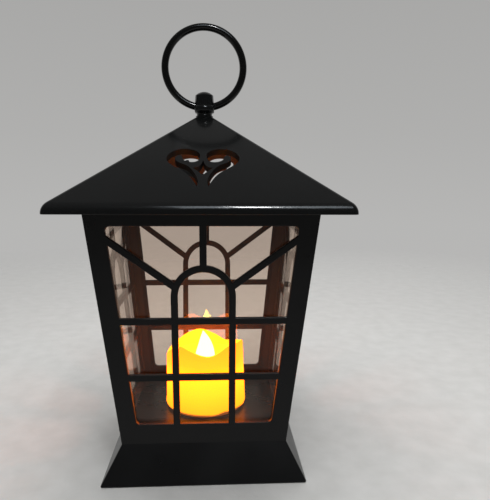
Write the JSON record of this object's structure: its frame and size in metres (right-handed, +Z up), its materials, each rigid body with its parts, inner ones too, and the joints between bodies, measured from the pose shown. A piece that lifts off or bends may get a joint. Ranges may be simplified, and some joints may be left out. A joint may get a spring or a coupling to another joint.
{
  "type": "candle lantern",
  "caption": "Black lattice-sided lantern with clear panes, hipped roof, swinging ring handle and a battery-powered LED candle inside.",
  "frame": {"origin": "middle of the footprint, on the surface that the lantern stands on", "axes": "+Z up along the lantern's height, +X to the right seen from the front, the front faces -Y"},
  "size_m": [0.1656, 0.1656, 0.2805],
  "materials": {
    "body_plastic": "near-black moulded plastic, satin",
    "roof_plastic": "near-black moulded plastic, glossy",
    "inner_plastic": "near-black moulded plastic, matte",
    "clear_sheet": "clear plastic sheet",
    "ring_metal": "black painted steel wire, glossy",
    "steel": "zinc-plated steel",
    "candle_plastic": "translucent wax-look plastic, lit from inside",
    "flame_plastic": "translucent white plastic, lit",
    "led_lens": "clear epoxy lens",
    "board": "green circuit board",
    "chip": "black chip package",
    "resistor_body": "lacquered resistor",
    "cell_jacket": "jacketed steel cell",
    "switch_metal": "pressed tin-plated steel",
    "switch_plastic": "black moulded nylon",
    "red_insulation": "red PVC insulation",
    "black_insulation": "black PVC insulation"
  },
  "bodies": {
    "lantern": {"base_shell": "body_plastic", "panel_front": "body_plastic", "panel_right": "body_plastic", "panel_back": "body_plastic", "panel_left": "body_plastic", "top_frame": "body_plastic", "roof_shell": "roof_plastic", "finial": "roof_plastic", "floor_plate": "inner_plastic", "bottom_plate": "inner_plastic", "pane_front": "clear_sheet", "pane_right": "clear_sheet", "pane_back": "clear_sheet", "pane_left": "clear_sheet", "finial_washer": "steel", "finial_screw": "steel", "roof_screws": "steel", "base_screws": "steel", "board_screws": "steel", "spring_contacts": "steel", "flat_contacts": "steel", "candle_shell": "candle_plastic", "candle_well": "candle_plastic", "candle_base": "candle_plastic", "flame_tip": "flame_plastic", "led": "led_lens", "circuit_board": "board", "timer_chip": "chip", "resistor": "resistor_body", "battery_1": "cell_jacket", "battery_2": "cell_jacket", "battery_3": "cell_jacket", "switch_housing": "switch_metal", "wire_red": "red_insulation", "wire_black": "black_insulation"},
    "ring": {"ring_handle": "ring_metal"},
    "battery_door": {"battery_door": "inner_plastic"},
    "switch": {"switch_slider": "switch_plastic"}
  },
  "joints": [
    {"name": "ring_swing", "type": "hinge", "parent": "lantern", "child": "ring", "pos_m": [0, 0, 0.22765], "axis": [1, 0, 0], "range_deg": [-123, 123]},
    {"name": "battery_door_hinge", "type": "hinge", "parent": "lantern", "child": "battery_door", "pos_m": [0, -0.0268, 0.0025], "axis": [-1, 0, 0], "range_deg": [0, 95]},
    {"name": "switch_slide", "type": "slide", "parent": "lantern", "child": "switch", "axis": [0, 1, 0], "range_m": [0, 0.004]}
  ]
}
